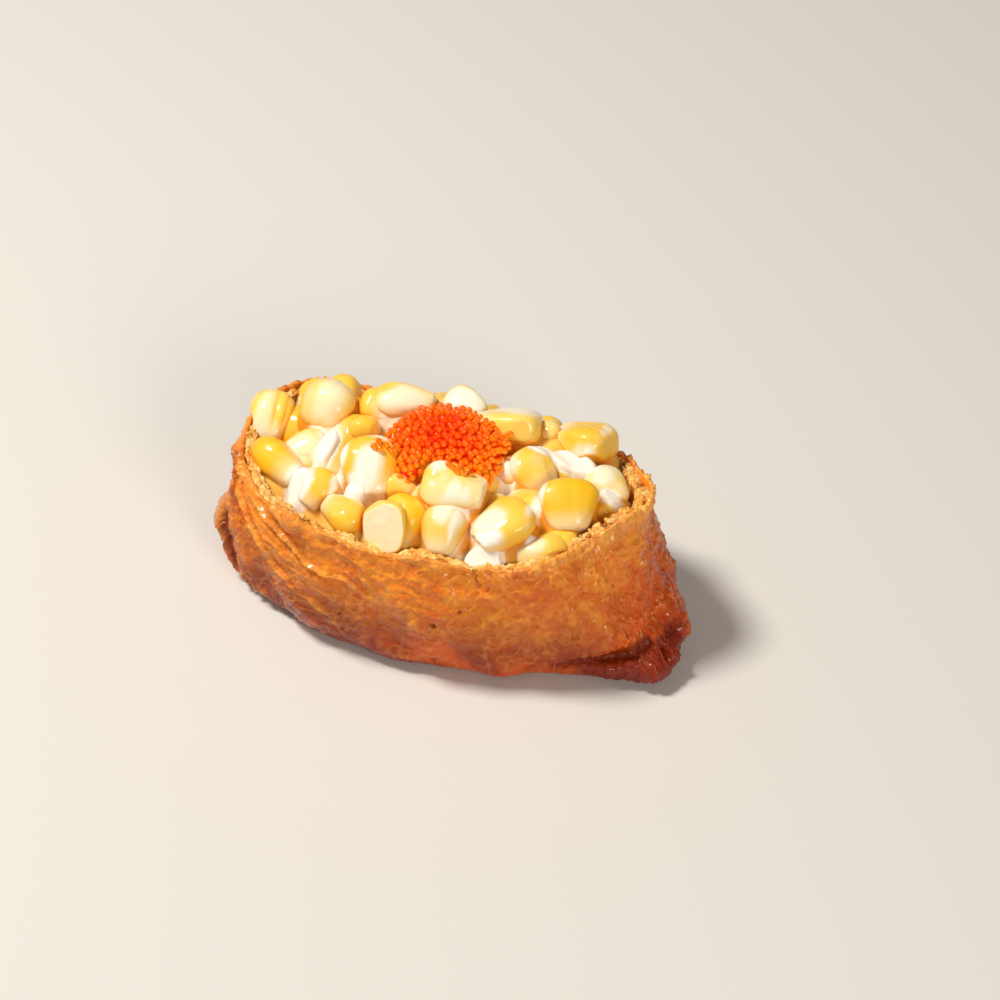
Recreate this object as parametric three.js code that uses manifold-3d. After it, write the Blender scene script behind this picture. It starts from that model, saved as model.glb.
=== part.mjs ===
// Inari sushi: an open pocket of simmered fried tofu, filled with sweetcorn in mayonnaise and topped with
// fish roe. Millimetres, +Z up. X runs along the pocket, its front is at -Y, and the origin is the middle of
// its flat base.
import * as THREE from "three";
import { mergeVertices } from "three/addons/utils/BufferGeometryUtils.js";
import Module from "manifold-3d";

const wasm = await Module();
wasm.setup();

// ---- Driving dimensions

const GAP = 0.3; // free space between one food and the next

// The middle of the pocket's outline, which becomes the origin.
const MIDDLE = new THREE.Vector2(1.0, -0.2);

// The pocket is drawn at stations, from its +X end round by the back: the outer edge of the rim, the widest
// line of the foot below it, and how far the wall between the two swells past a straight slope.
const station = (rim, foot, swell) => ({ rim, foot, swell });
const STATIONS = [
  station([30.3, 2.1, 24.4], [35.8, -0.4], -2.8),
  station([27.8, 7.8, 22.8], [33.2, 7.4], -2.2),
  station([22.1, 13.5, 21.0], [28.2, 14.0], 0.6),
  station([12.1, 16.6, 20.8], [14.8, 17.8], 1.2),
  station([0.6, 17.2, 21.2], [0.6, 18.6], 1.2),
  station([-10.4, 16.4, 21.6], [-12.4, 17.8], 1.2),
  station([-20.2, 14.6, 22.2], [-23.2, 15.4], 1.2),
  station([-27.6, 11.4, 22.8], [-31.4, 11.2], 1.2),
  station([-31.2, 4.6, 22.9], [-34.6, 3.6], 0.6),
  station([-30.4, -4.2, 22.5], [-32.4, -4.4], 0.5),
  station([-25.4, -11.8, 22.0], [-27.8, -10.6], 0.9),
  station([-15.2, -17.4, 21.5], [-17.0, -16.4], 1.0),
  station([-2.7, -18.8, 21.2], [-2.4, -19.2], 0.6),
  station([9.0, -17.6, 21.2], [10.0, -18.2], 0.8),
  station([18.2, -14.8, 21.6], [20.8, -14.6], 0.9),
  station([24.0, -9.0, 23.2], [29.4, -11.4], 0.4),
  station([28.6, -3.0, 24.4], [35.2, -8.2], -2.2),
];
const FOOT_HEIGHT = 4.2; // height of the widest line of the foot
const FOOT_TUCK = 3.6; // how far the foot turns in below that line
const RIM_WAVE = 0.3; // uneven cut edge

const SKIN = 2.3; // thickness of the tofu wall
const FLOOR = 2.4; // thickness of the tofu under the filling
const CORNER_IN = 1; // where wall meets floor inside, the corner stands in by this much
const CORNER_UP = 0.5; // and rises by this much

// Each lower corner of the folded tofu stands out as an ear. `turn` is its place round the pocket in stations,
// `spread` its half width in stations, and `level` and `height` its middle and half height in millimetres.
const EARS = [
  { turn: 15.9, spread: 1.0, level: 2.2, height: 3.4, reach: 2.6 },
  { turn: 9.1, spread: 0.5, level: 7.4, height: 3.4, reach: 3.0 },
];
// Creases where the ears fold back against the wall, leaning by `slope` millimetres for each station.
const CREASES = [
  { turn: 15.6, spread: 1.2, level: 6.6, slope: 2.4, width: 1.2, depth: 1.2 },
  { turn: 9.7, spread: 0.45, level: 9.0, slope: 6, width: 2.2, depth: 0.8 },
];
const WRINKLE = 0.3; // depth of the broad wrinkles

// The heap of corn: a core bound by mayonnaise, with the kernels standing out of it.
const HEAP_MIDDLE = new THREE.Vector2(-0.6, 2.2);
const HEAP_HALF_LENGTH = 31.5;
const HEAP_HALF_WIDTH = 19.5;
const HEAP_TOP = 24.2;
const HEAP_EDGE = 18.0;
const CORE_RISE = 0.8; // top of the core above the heap's form
const CORE_INSET = 0.4; // how far the core keeps inside the room in the pocket
const CORE_FOOT_INSET = 1.4; // how much further in its foot stands

// A kernel is a squared ball with a flat cut, which tapers from its crown to the cut.
const KERNEL_LIFT = 1.8; // middle of a kernel above the heap's form
const KERNEL_CUT = 0.8; // where the cut takes off the ball, in radii from its middle
const KERNEL_NECK = 0.72; // width at the cut, for a width of 1 at the crown
const KERNEL_SHOULDER = 1.3; // how far from the cut the full width starts, in radii
const KERNEL_SECTION = 0.7; // power that squares its section, where 1 leaves it round
const KERNEL_CROWN = 0.8; // the same for its crown
// Half sizes for a kernel of size 1, a little large because the facets cut the corners.
const KERNEL_HALF = new THREE.Vector3(0.54, 0.55, 0.52);

// The roe: a low mound over the heap, and single eggs standing out of it.
const ROE_MIDDLE = new THREE.Vector2(-0.3, 0.2);
// How far the mound reaches, one value for each twelfth of a turn from +X.
const ROE_REACH = [8.8, 9.2, 8.0, 8.4, 8.8, 8.6, 8.8, 6.8, 8.6, 5.0, 6.4, 9.8];
const ROE_RIM_RISE = 2.2; // edge of the mound above the core of the heap
const ROE_THICKNESS = 2.6;
const EGG_RADIUS = 0.5;
const EGG_COUNT = 90;
const ROE_CLEARANCE = 1.2; // how far the kernels keep from the mound, eggs included

// ---- Small helpers

const { lerp } = THREE.MathUtils;
const radians = THREE.MathUtils.degToRad;
const UP = new THREE.Vector3(0, 0, 1);
const clamp01 = (t) => Math.min(1, Math.max(0, t));
const bell = (x, spread) => Math.exp(-((x / spread) ** 2));

// How far `turn` lies from `middle` on a ring of `count` stations, the short way round.
function stationsBetween(middle, turn, count) {
  const d = (((turn - middle) % count) + count) % count;
  return d > count / 2 ? d - count : d;
}

// A closed skin of rings. point(ring, turn) places the vertices, and the two end rings are single points.
function closedSkin(last, around, turns, point) {
  const radius = (k) => (k === 0 || k === last ? 0 : 1);
  const profile = Array.from({ length: last + 1 }, (_, k) => new THREE.Vector2(radius(k), k));
  const geometry = new THREE.LatheGeometry(profile, around);
  const position = geometry.getAttribute("position");
  for (let i = 0; i < position.count; i++) {
    const share = (Math.floor(i / (last + 1)) % around) / around;
    position.setXYZ(i, ...point(i % (last + 1), share * turns).toArray());
  }
  return geometry;
}

// Geometry to manifold-3d solid, and back.
function solidOf(geometry) {
  const bare = new THREE.BufferGeometry().setAttribute("position", geometry.getAttribute("position"));
  bare.setIndex(geometry.index);
  const merged = mergeVertices(bare, 1e-3);
  const solid = new wasm.Manifold(
    new wasm.Mesh({
      numProp: 3,
      vertProperties: new Float32Array(merged.attributes.position.array),
      triVerts: new Uint32Array(merged.index.array),
    }),
  );
  if (solid.volume() < 0) throw new Error("a surface faces inwards");
  return solid;
}

function geometryOf(solid) {
  const mesh = solid.getMesh();
  return new THREE.BufferGeometry()
    .setAttribute("position", new THREE.BufferAttribute(mesh.vertProperties, 3))
    .setIndex(new THREE.BufferAttribute(mesh.triVerts, 1));
}

// Only the largest body of a solid: trimming can leave loose scraps.
function largestBody(solid) {
  return solid.decompose().reduce((best, body) => (body.volume() > best.volume() ? body : best));
}

// ---- The pocket's form
// `turn` runs round it in stations, and `level` from the foot's widest line, 0, to the rim, 1.

const ring = (points) => new THREE.CatmullRomCurve3(points, true, "catmullrom", 0.5);
const RIM_LINE = ring(STATIONS.map((s) => new THREE.Vector3(...s.rim)));
const FOOT_LINE = ring(STATIONS.map((s) => new THREE.Vector3(...s.foot, FOOT_HEIGHT)));
const SWELL_LINE = ring(STATIONS.map((s) => new THREE.Vector3(s.swell, 0, 0)));

const along = (line, turn) => line.getPoint(turn / STATIONS.length);

function outward(turn) {
  const step = 0.2;
  const ahead = along(RIM_LINE, (turn + step) % STATIONS.length);
  const behind = along(RIM_LINE, (turn - step + STATIONS.length) % STATIONS.length);
  return new THREE.Vector3(ahead.y - behind.y, behind.x - ahead.x, 0).normalize();
}

function earReach(turn, z) {
  return EARS.reduce((sum, ear) => {
    const aside = stationsBetween(ear.turn, turn, STATIONS.length);
    return sum + ear.reach * bell(aside, ear.spread) * bell(z - ear.level, ear.height);
  }, 0);
}

function creaseDepth(turn, z) {
  return CREASES.reduce((sum, crease) => {
    const aside = stationsBetween(crease.turn, turn, STATIONS.length);
    const middle = crease.level + crease.slope * aside;
    return sum + crease.depth * bell(aside, crease.spread) * bell(z - middle, crease.width);
  }, 0);
}

// Broad wrinkles that lean along the wall.
function wrinkleHeight(turn, z) {
  const a = (2 * Math.PI * turn) / STATIONS.length;
  const waves = Math.sin(9 * a + 0.26 * z) + 0.7 * Math.sin(14 * a - 0.2 * z + 1.9);
  return WRINKLE * (waves + 0.6 * Math.sin(23 * a + 0.4 * z));
}

function rimWave(turn) {
  const a = (2 * Math.PI * turn) / STATIONS.length;
  return RIM_WAVE * (Math.sin(11 * a + 0.7) + 0.6 * Math.sin(19 * a + 2.1));
}

// A point of the wall, `inset` millimetres in from the outer skin.
function wallPoint(turn, level, inset) {
  const p = along(FOOT_LINE, turn).lerp(along(RIM_LINE, turn), level);
  p.z += level * rimWave(turn);
  const relief = earReach(turn, p.z) - creaseDepth(turn, p.z) + wrinkleHeight(turn, p.z) * (1 - 0.6 * level);
  const swell = along(SWELL_LINE, turn).x * Math.sin(Math.PI * level);
  return p.addScaledVector(outward(turn), swell + relief * clamp01(1 - inset / SKIN) - inset);
}

// A point of the rounded foot: `roll` is 0 on the table and 90 degrees at the widest line.
function footPoint(turn, roll, inset) {
  const lift = inset * (1 - Math.sin(roll));
  const z = FOOT_HEIGHT - (FOOT_HEIGHT - lift) * Math.cos(roll);
  const p = along(FOOT_LINE, turn);
  const relief = earReach(turn, z) - creaseDepth(turn, z) + wrinkleHeight(turn, z) * Math.sin(roll);
  const outside = relief * clamp01(1 - inset / SKIN) - FOOT_TUCK * (1 - Math.sin(roll)) - inset;
  return p.addScaledVector(outward(turn), outside).setZ(z);
}

// A ring shrunk towards the middle of the pocket, at one height.
const spoke = (ringPoint, share, z) => (turn) => ringPoint(turn).multiplyScalar(share).setZ(z);
const single = (z) => () => new THREE.Vector3(0, 0, z);

const ROLLS = [0, 30, 60].map(radians);
const OUTER_LEVELS = [0, 0.16, 0.33, 0.5, 0.66, 0.82, 0.95];
const INNER_LEVELS = [0.95, 0.7, 0.4, 0.15];
const AROUND = 5 * STATIONS.length;

function pocketGeometry() {
  const base = (turn) => footPoint(turn, 0, 0);
  const innerFoot = (turn) => wallPoint(turn, 0, SKIN + CORNER_IN).setZ(FLOOR + CORNER_UP);
  const rings = [
    single(0),
    spoke(base, 0.5, 0),
    spoke(base, 0.85, 0),
    ...ROLLS.map((roll) => (turn) => footPoint(turn, roll, 0)),
    ...OUTER_LEVELS.map((level) => (turn) => wallPoint(turn, level, 0)),
    (turn) => wallPoint(turn, 1, 0.25 * SKIN),
    (turn) => wallPoint(turn, 0.995, 0.75 * SKIN),
    ...INNER_LEVELS.map((level) => (turn) => wallPoint(turn, level, SKIN)),
    innerFoot,
    spoke(innerFoot, 0.8, FLOOR),
    single(FLOOR),
  ];
  return closedSkin(rings.length - 1, AROUND, STATIONS.length, (k, turn) => rings[k](turn));
}

// ---- The corn

// The heap's form: a height over each point of the plan.
function heapHeight(x, y) {
  const share = Math.hypot((x - HEAP_MIDDLE.x) / HEAP_HALF_LENGTH, (y - HEAP_MIDDLE.y) / HEAP_HALF_WIDTH);
  return lerp(HEAP_TOP, HEAP_EDGE, clamp01(share) ** 2);
}

// The mass that fills the pocket under the kernels.
function coreGeometry() {
  const inset = SKIN + GAP + CORE_INSET;
  const foot = (turn) => wallPoint(turn, 0.02, inset + CORE_FOOT_INSET);
  const onHeap = (share) => (turn) => {
    const p = spoke((t) => wallPoint(t, 0.8, inset), share, 0)(turn);
    return p.setZ(heapHeight(p.x, p.y) + CORE_RISE);
  };
  const rings = [
    single(FLOOR + GAP),
    spoke(foot, 0.75, FLOOR + GAP),
    foot,
    (turn) => wallPoint(turn, 0.4, inset),
    onHeap(1),
    onHeap(0.66),
    onHeap(0.33),
    single(HEAP_TOP + CORE_RISE),
  ];
  return closedSkin(rings.length - 1, 2 * STATIONS.length, STATIONS.length, (k, turn) => rings[k](turn));
}

// The room inside the pocket and straight up above it, GAP clear of the wall: no kernel passes it.
function roomGeometry() {
  const inset = SKIN + GAP;
  const rings = [
    single(FLOOR + GAP),
    (turn) => wallPoint(turn, 0, inset + CORNER_IN).setZ(FLOOR + CORNER_UP + GAP),
    ...INNER_LEVELS.slice().reverse().map((level) => (turn) => wallPoint(turn, level, inset)),
    (turn) => wallPoint(turn, 1, inset),
    (turn) => wallPoint(turn, 1, inset).setZ(2 * HEAP_TOP),
    single(2 * HEAP_TOP),
  ];
  return closedSkin(rings.length - 1, AROUND, STATIONS.length, (k, turn) => rings[k](turn));
}

// A kernel cut from the cob, with its domed crown at +Y and its flat cut at -Y.
function kernelGeometry(width, length, thickness) {
  const geometry = new THREE.SphereGeometry(1, 8, 6);
  geometry.rotateX(-Math.PI / 2);
  const position = geometry.getAttribute("position");
  const squared = (v, power) => Math.sign(v) * Math.abs(v) ** power;
  for (let i = 0; i < position.count; i++) {
    const y = Math.max(squared(position.getY(i), KERNEL_CROWN), -KERNEL_CUT);
    const taper = lerp(KERNEL_NECK, 1, clamp01((y + KERNEL_CUT) / KERNEL_SHOULDER));
    position.setXYZ(
      i,
      KERNEL_HALF.x * width * taper * squared(position.getX(i), KERNEL_SECTION),
      KERNEL_HALF.y * length * (y - (1 - KERNEL_CUT) / 2),
      KERNEL_HALF.z * thickness * Math.sqrt(taper) * squared(position.getZ(i), KERNEL_SECTION),
    );
  }
  return geometry;
}

// Places a kernel: its crown points along `turn` in plan and rises by `lean`, and `roll` turns it about its
// own length.
function kernelMatrix({ x, y, lift, turn, lean, roll }) {
  const towards = (rise) => new THREE.Vector3(Math.cos(rise), 0, Math.sin(rise)).applyAxisAngle(UP, turn);
  const crown = towards(lean);
  const face = towards(lean + Math.PI / 2).applyAxisAngle(crown, roll);
  const matrix = new THREE.Matrix4().makeBasis(new THREE.Vector3().crossVectors(crown, face), crown, face);
  return matrix.setPosition(x, y, heapHeight(x, y) + KERNEL_LIFT + lift);
}

// One kernel: its place in plan and its lift off the heap, its turns in degrees, and its width, length and
// thickness.
const kernel = ([x, y, lift], [turn, lean, roll], [width, length, thickness]) => ({
  x, y, lift, turn: radians(turn), lean: radians(lean), roll: radians(roll), width, length, thickness,
});

// The kernels on top of the heap, from the left end to the right.
const KERNELS = [
  kernel([-28.6, 3.2, 1.0], [100, 32, 5], [6.8, 8.4, 5.3]),
  kernel([-25.4, 10.9, 0.1], [70, 30, -10], [5.9, 6.1, 4.4]),
  kernel([-23.6, -6.2, 0.6], [150, 4, 55], [6.5, 9.8, 5.5]),
  kernel([-19.9, 4.7, 1.4], [-100, 38, 0], [8.0, 8.0, 8.4]),
  kernel([-20.6, 10.0, 0.2], [10, 36, 30], [6.8, 7.2, 5.2]),
  kernel([-20.7, -2.0, -0.6], [35, 10, 15], [5.5, 6.3, 3.8]),
  kernel([-15.7, -10.0, 0.2], [62, 32, 25], [5.5, 6.3, 4.5]),
  kernel([-14.5, 11.5, -1.6], [160, 8, -15], [4.2, 4.8, 3.1]),
  kernel([-13.3, 1.4, 0.2], [-60, 40, 0], [4.5, 5.1, 4.2]),
  kernel([-13.3, 7.0, 0.4], [176, 6, -30], [5.9, 6.1, 4.5]),
  kernel([-10.4, -13.2, 0.2], [-22, 2, 18], [5.5, 7.3, 4.6]),
  kernel([-9.2, -6.2, 1.0], [118, 34, -4], [8.6, 9.4, 5.5]),
  kernel([-9.7, 8.1, 1.4], [193, 2, -20], [5.6, 9.4, 4.3]),
  kernel([-3.4, -14.7, 1.5], [-100, 24, 12], [6.4, 5.5, 7.3]),
  kernel([-1.3, 10.5, 0.8], [172, 8, -28], [6.3, 6.7, 4.3]),
  kernel([-1.8, -12.6, 0.2], [80, 42, 0], [7.0, 7.8, 5.2]),
  kernel([3.8, -7.5, 1.6], [186, 2, -30], [7.0, 9.3, 5.2]),
  kernel([4.2, -12.7, 0.6], [98, 38, 0], [6.5, 7.4, 4.9]),
  kernel([5.8, 12.2, -1.2], [30, 8, -15], [5.5, 6.5, 4.2]),
  kernel([6.6, 8.5, 0.8], [12, 4, -28], [7.5, 9.7, 5.3]),
  kernel([7.0, -8.7, -1.8], [80, 25, 10], [6.0, 7.1, 4.7]),
  kernel([6.5, -3.5, -1.0], [90, 40, 0], [5.2, 5.7, 4.3]),
  kernel([11.7, 10.2, 0.6], [50, 32, 0], [3.8, 4.4, 3.4]),
  kernel([12.4, -10.0, 1.3], [52, 20, -5], [7.9, 9.2, 5.1]),
  kernel([12.8, 1.0, 0.4], [150, 22, -10], [6.4, 7.5, 4.4]),
  kernel([17.4, 10.8, 1.4], [-14, 14, -20], [7.3, 9.1, 5.6]),
  kernel([18.2, -10.5, -0.1], [26, 8, -20], [5.5, 7.6, 4.6]),
  kernel([19.7, -3.6, 1.7], [112, 36, 0], [8.4, 7.8, 5.1]),
  kernel([23.0, 3.5, 0.8], [150, 16, 0], [5.9, 6.7, 4.4]),
];

// The core and its kernels, cut back to the room in the pocket and clear of the roe.
function cornSolid() {
  let heap = solidOf(coreGeometry());
  for (const k of KERNELS) {
    heap = heap.add(solidOf(kernelGeometry(k.width, k.length, k.thickness).applyMatrix4(kernelMatrix(k))));
  }
  const clearOfPocket = heap.intersect(solidOf(roomGeometry()));
  return largestBody(clearOfPocket.subtract(solidOf(moundGeometry(ROE_CLEARANCE))));
}

// ---- The roe

// Reach of the mound in one direction, smooth through the named values.
function roeReach(angle) {
  const count = ROE_REACH.length;
  const at = (angle / (2 * Math.PI)) * count;
  const i = Math.floor(at) % count;
  const t = at - Math.floor(at);
  return lerp(ROE_REACH[i], ROE_REACH[(i + 1) % count], t * t * (3 - 2 * t));
}

// A point on top of the mound: `share` is 0 in its middle and 1 at its edge.
function moundPoint(share, angle, grow) {
  const reach = share * (roeReach(angle) + grow);
  const x = ROE_MIDDLE.x + reach * Math.cos(angle);
  const y = ROE_MIDDLE.y + reach * Math.sin(angle);
  const dome = (ROE_THICKNESS + grow) * Math.sqrt(Math.max(0, 1 - share ** 3));
  return new THREE.Vector3(x, y, heapHeight(x, y) + ROE_RIM_RISE + dome);
}

// The mound as a closed skin, grown by `grow`.
function moundGeometry(grow) {
  const full = 2 * Math.PI;
  const underside = (share) => (angle) => {
    const p = moundPoint(share, angle, grow);
    return p.setZ(heapHeight(p.x, p.y) + (grow ? 0 : GAP));
  };
  const rings = [
    () => underside(0)(0),
    underside(0.9),
    (angle) => moundPoint(1, angle, grow),
    ...[0.86, 0.55].map((share) => (angle) => moundPoint(share, angle, grow)),
    () => moundPoint(0, 0, grow),
  ];
  return closedSkin(rings.length - 1, 18, full, (k, angle) => rings[k](angle));
}

// Eggs spread evenly over the mound, each a golden angle on from the last.
function eggPlaces() {
  const golden = Math.PI * (3 - Math.sqrt(5));
  return Array.from({ length: EGG_COUNT }, (_, i) =>
    moundPoint(Math.sqrt((i + 0.5) / EGG_COUNT), (i * golden) % (2 * Math.PI), 0),
  );
}

function roeSolid() {
  let roe = solidOf(moundGeometry(0));
  eggPlaces().forEach((p, i) => {
    const egg = mergeVertices(new THREE.IcosahedronGeometry(EGG_RADIUS, 0).rotateZ(i));
    roe = roe.add(solidOf(egg.translate(p.x, p.y, p.z)));
  });
  return largestBody(roe);
}

// ---- The three foods

const matte = (colour, roughness) => new THREE.MeshStandardMaterial({ color: colour, roughness, metalness: 0 });

function food(name, solid, material) {
  const mesh = new THREE.Mesh(geometryOf(solid).translate(-MIDDLE.x, -MIDDLE.y, 0), material);
  mesh.name = name;
  return mesh;
}

const inari = new THREE.Group();
inari.name = "inari_sushi";
inari.add(food("tofu_pocket", solidOf(pocketGeometry()), matte(0xc97f3a, 0.45)));
inari.add(food("corn_salad", cornSolid(), matte(0xf6d873, 0.35)));
inari.add(food("fish_roe", roeSolid(), matte(0xf04a12, 0.2)));

export default inari;
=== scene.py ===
"""One inari sushi: a pocket of simmered fried tofu, heaped with sweetcorn in mayonnaise and fish roe.

Shapes are in millimetres, and become metres when a finished mesh is put into the scene.
The pocket's stations, the heap and the kernels' places are the ones that the solid model is made from.
"""

import random
from math import atan2, ceil, cos, exp, floor, hypot, pi, radians, sin, sqrt

import bmesh
import bpy
from mathutils import Matrix, Vector, noise
from mathutils.bvhtree import BVHTree


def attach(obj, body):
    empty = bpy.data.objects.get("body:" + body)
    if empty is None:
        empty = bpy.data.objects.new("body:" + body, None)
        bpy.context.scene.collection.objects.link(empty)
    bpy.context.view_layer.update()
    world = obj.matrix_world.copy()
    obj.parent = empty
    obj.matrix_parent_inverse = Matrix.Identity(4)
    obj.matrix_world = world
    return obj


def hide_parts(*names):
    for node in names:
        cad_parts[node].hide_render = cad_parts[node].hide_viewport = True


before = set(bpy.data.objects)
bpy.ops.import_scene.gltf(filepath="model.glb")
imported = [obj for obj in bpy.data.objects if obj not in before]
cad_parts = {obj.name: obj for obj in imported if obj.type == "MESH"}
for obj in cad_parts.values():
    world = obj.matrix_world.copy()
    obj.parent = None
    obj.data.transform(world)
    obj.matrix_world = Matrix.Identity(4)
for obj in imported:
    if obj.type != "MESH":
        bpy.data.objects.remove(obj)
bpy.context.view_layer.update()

MM = 0.001

# ---- The pocket's form, in millimetres

MIDDLE = Vector((1.0, -0.2, 0.0))  # the middle of the outline, which is the origin

# From the +X end round by the back: outer edge of the rim, widest line of the foot, and how far the wall
# between them swells.
STATIONS = [
    ((30.3, 2.1, 24.4), (35.8, -0.4), -2.8),
    ((27.8, 7.8, 22.8), (33.2, 7.4), -2.2),
    ((22.1, 13.5, 21.0), (28.2, 14.0), 0.6),
    ((12.1, 16.6, 20.8), (14.8, 17.8), 1.2),
    ((0.6, 17.2, 21.2), (0.6, 18.6), 1.2),
    ((-10.4, 16.4, 21.6), (-12.4, 17.8), 1.2),
    ((-20.2, 14.6, 22.2), (-23.2, 15.4), 1.2),
    ((-27.6, 11.4, 22.8), (-31.4, 11.2), 1.2),
    ((-31.2, 4.6, 22.9), (-34.6, 3.6), 0.6),
    ((-30.4, -4.2, 22.5), (-32.4, -4.4), 0.5),
    ((-25.4, -11.8, 22.0), (-27.8, -10.6), 0.9),
    ((-15.2, -17.4, 21.5), (-17.0, -16.4), 1.0),
    ((-2.7, -18.8, 21.2), (-2.4, -19.2), 0.6),
    ((9.0, -17.6, 21.2), (10.0, -18.2), 0.8),
    ((18.2, -14.8, 21.6), (20.8, -14.6), 0.9),
    ((24.0, -9.0, 23.2), (29.4, -11.4), 0.4),
    ((28.6, -3.0, 24.4), (35.2, -8.2), -2.2),
]
COUNT = len(STATIONS)
STATION_LENGTH = 11.0  # about how far one station is from the next
RIM_LINE = [Vector(rim) - MIDDLE for rim, foot, swell in STATIONS]
FOOT_HEIGHT = 4.2
FOOT_LINE = [Vector((*foot, FOOT_HEIGHT)) - MIDDLE for rim, foot, swell in STATIONS]
SWELL_LINE = [Vector((swell, 0.0, 0.0)) for rim, foot, swell in STATIONS]
FOOT_TUCK = 3.6  # how far the foot turns in
RIM_WAVE = 0.3
SKIN = 2.3  # thickness of the tofu wall
FLOOR = 2.4
WRINKLE = 0.3

# Ears: place and spread in stations, height of the middle, half height and reach.
EARS = [(15.9, 1.0, 2.2, 3.4, 2.6), (9.1, 0.5, 7.4, 3.4, 3.0)]
# Creases: place, spread, height, rise for each station, half width and depth.
CREASES = [(15.6, 1.2, 6.6, 2.4, 1.2, 1.2), (9.7, 0.45, 9.0, 6.0, 2.2, 0.8)]


def lerp(a, b, t):
    return a + (b - a) * t


def clamp01(t):
    return min(1.0, max(0.0, t))


def smooth(edge0, edge1, x):
    """0 at edge0, 1 at edge1 and a smooth step between."""
    t = clamp01((x - edge0) / (edge1 - edge0))
    return t * t * (3.0 - 2.0 * t)


def bell(x, spread):
    return exp(-((x / spread) ** 2))


def soft_limit(value, limit, width):
    """The smaller of value and limit, with the corner between them rounded."""
    share = clamp01(0.5 + 0.5 * (limit - value) / width)
    return lerp(limit, value, share) - width * share * (1.0 - share)


def ripple(p, size, seed=0.0):
    """Smooth noise from -1 to 1 whose lumps are about `size` millimetres."""
    return noise.noise(Vector((p[0] / size + seed, p[1] / size - seed, p[2] / size + 0.5 * seed)))


def thread(value, width):
    """1 where a noise value crosses zero, falling to 0 at `width` from it: thin winding lines."""
    return clamp01(1.0 - abs(value) / width)


def cells(p, size, seed=0.0):
    """How near a point is to the middle of its cell, and how far from the walls between cells."""
    distances = noise.voronoi(Vector((p[0] / size + seed, p[1] / size, p[2] / size)))[0]
    return clamp01(1.0 - (distances[0] / 0.6) ** 2), distances[1] - distances[0]


def along(line, turn):
    """Point at `turn` stations along a closed smooth line."""
    i = floor(turn)
    t = turn - i
    before, start, end, after = (line[(i + k) % COUNT] for k in (-1, 0, 1, 2))
    leave = (end - before) * 0.5
    arrive = (after - start) * 0.5
    cubic = (start * 2.0 - end * 2.0 + leave + arrive) * t ** 3
    square = (end * 3.0 - start * 3.0 - leave * 2.0 - arrive) * t ** 2
    return cubic + square + leave * t + start


def from_station(middle, turn):
    d = (turn - middle) % COUNT
    return d - COUNT if d > COUNT / 2 else d


def outward(turn):
    """Level direction out of the pocket."""
    step = 0.2
    ahead = along(RIM_LINE, turn + step)
    behind = along(RIM_LINE, turn - step)
    return Vector((ahead.y - behind.y, behind.x - ahead.x, 0.0)).normalized()


class Column:
    """What the wall is at one place round the pocket."""

    def __init__(self, turn):
        self.turn = turn
        self.foot = along(FOOT_LINE, turn)
        self.rim = along(RIM_LINE, turn)
        self.swell = along(SWELL_LINE, turn).x
        self.out = outward(turn)
        a = 2.0 * pi * turn / COUNT
        self.angle = a
        self.wave = RIM_WAVE * (sin(11 * a + 0.7) + 0.6 * sin(19 * a + 2.1))

    def relief(self, z):
        """Ears and creases at one height."""
        out = sum(
            reach * bell(from_station(turn, self.turn), spread) * bell(z - level, height)
            for turn, spread, level, height, reach in EARS
        )
        for turn, spread, level, slope, width, depth in CREASES:
            aside = from_station(turn, self.turn)
            out -= depth * bell(aside, spread) * bell(z - level - slope * aside, width)
        return out

    def wrinkle(self, z):
        a = self.angle
        waves = sin(9 * a + 0.26 * z) + 0.7 * sin(14 * a - 0.2 * z + 1.9)
        return WRINKLE * (waves + 0.6 * sin(23 * a + 0.4 * z))

    def wall(self, level, inset):
        """A point of the wall: `level` 0 at the foot's widest line and 1 at the rim."""
        p = self.foot.lerp(self.rim, level)
        p.z += level * self.wave
        relief = self.relief(p.z) + self.wrinkle(p.z) * (1 - 0.6 * level)
        out = self.swell * sin(pi * level) + relief * clamp01(1 - inset / SKIN) - inset
        return p + self.out * out

    def under(self, roll, inset):
        """A point of the rounded foot: `roll` 0 on the table and a quarter turn at the widest line."""
        lift = inset * (1 - sin(roll))
        z = FOOT_HEIGHT - (FOOT_HEIGHT - lift) * cos(roll)
        relief = self.relief(z) + self.wrinkle(z) * sin(roll)
        out = relief * clamp01(1 - inset / SKIN) - FOOT_TUCK * (1 - sin(roll)) - inset
        p = self.foot + self.out * out
        return Vector((p.x, p.y, z))


# ---- Making meshes

def wrapped_grid(around, rows, place, closed_section=False):
    """A grid bent round the pocket. place(column, row) gives each vertex, and the seams are closed."""
    bm = bmesh.new()
    bmesh.ops.create_grid(bm, x_segments=around, y_segments=rows, size=0.5)
    column_of, row_of = (bm.verts.layers.int.new(name) for name in ("column", "row"))
    for v in bm.verts:
        v[column_of] = round((v.co.x + 0.5) * around) % around
        v[row_of] = round((v.co.y + 0.5) * rows)
        if closed_section:
            v[row_of] %= rows
        v.co = place(v[column_of], v[row_of])
    bmesh.ops.remove_doubles(bm, verts=bm.verts, dist=1e-4)
    bmesh.ops.recalc_face_normals(bm, faces=bm.faces)
    bm.normal_update()
    return bm


def new_marks(bm, *names):
    return [bm.verts.layers.float.new(name) for name in names]


def carve(bm, relief, marks):
    """Moves each vertex along its normal. relief(vertex) gives the move, then a value for each mark."""
    bm.normal_update()
    layers = new_marks(bm, *marks)
    moves = []
    for v in bm.verts:
        found = relief(v)
        moves.append(v.normal * found[0])
        for layer, value in zip(layers, found[1:]):
            v[layer] = clamp01(value)
    for v, move in zip(bm.verts, moves):
        v.co += move
    bm.normal_update()


def linked(name, data):
    made = bpy.data.objects.new(name, data)
    bpy.context.scene.collection.objects.link(made)
    return made


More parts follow.
